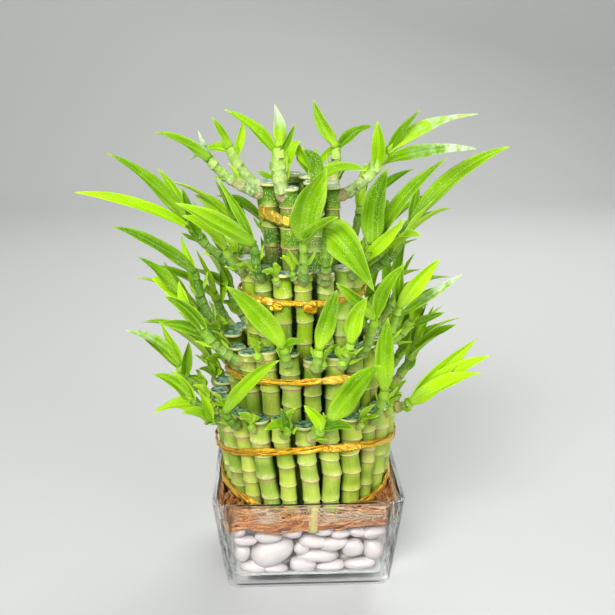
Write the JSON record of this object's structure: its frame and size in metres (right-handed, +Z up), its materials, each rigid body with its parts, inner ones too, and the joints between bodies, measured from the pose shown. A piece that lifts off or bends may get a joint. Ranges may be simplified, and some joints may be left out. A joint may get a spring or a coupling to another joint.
{
  "type": "lucky bamboo tower in a glass bowl",
  "caption": "Tiered tower of cut green canes with leafy shoots, held by foil ties and rooted over pebbles in a square clear glass bowl.",
  "frame": {"origin": "centre of the bowl's flat underside", "axes": "+Z up, -Y towards the front of the plant, +X to its right"},
  "size_m": [0.223, 0.1648, 0.25],
  "materials": {
    "clear_glass": "polished, clear",
    "white_pebble": "smooth, satin",
    "matted_root": "fibrous, damp",
    "lower_cane": "satin, finely striped",
    "upper_cane": "satin, speckled with drops",
    "gold_foil": "crinkled foil"
  },
  "bodies": {
    "root": {"glass_bowl": "clear_glass", "white_pebbles": "white_pebble", "root_mat": "matted_root", "tie_1": "gold_foil", "tie_2": "gold_foil", "tie_3": "gold_foil", "tie_4": "gold_foil", "tie_5": "gold_foil", "top_stem_1": "upper_cane", "top_stem_2": "upper_cane", "top_stem_3": "upper_cane", "top_stem_4": "upper_cane", "top_stem_5": "upper_cane", "top_stem_6": "upper_cane", "top_stem_7": "upper_cane", "top_stem_8": "upper_cane", "top_stem_9": "upper_cane", "top_stem_10": "upper_cane", "second_stems_1": "upper_cane", "second_stems_2": "upper_cane", "second_stems_3": "upper_cane", "second_stems_4": "upper_cane", "second_stems_5": "upper_cane", "second_stems_6": "upper_cane", "second_stems_7": "upper_cane", "second_stems_8": "upper_cane", "third_stems_1": "lower_cane", "third_stems_2": "lower_cane", "third_stems_3": "lower_cane", "third_stems_4": "lower_cane", "third_stems_5": "lower_cane", "third_stems_6": "lower_cane", "third_stems_7": "lower_cane", "third_stems_8": "lower_cane", "third_stems_9": "lower_cane", "third_stems_10": "lower_cane", "outer_stem_1": "lower_cane", "outer_stem_2": "lower_cane", "outer_stem_3": "lower_cane", "outer_stem_4": "lower_cane", "outer_stem_5": "lower_cane", "outer_stem_6": "lower_cane", "outer_stem_7": "lower_cane", "outer_stem_8": "lower_cane", "outer_stem_9": "lower_cane", "outer_stem_10": "lower_cane", "outer_stem_11": "lower_cane", "outer_stem_12": "lower_cane", "outer_stem_13": "lower_cane", "outer_stem_14": "lower_cane", "outer_stem_15": "lower_cane", "outer_stem_16": "lower_cane", "outer_stem_17": "lower_cane", "outer_stem_18": "lower_cane", "outer_stem_19": "lower_cane", "outer_stem_20": "lower_cane", "outer_stem_21": "lower_cane", "outer_stem_22": "lower_cane", "outer_stem_23": "lower_cane", "outer_stem_24": "lower_cane"}
  },
  "joints": []
}
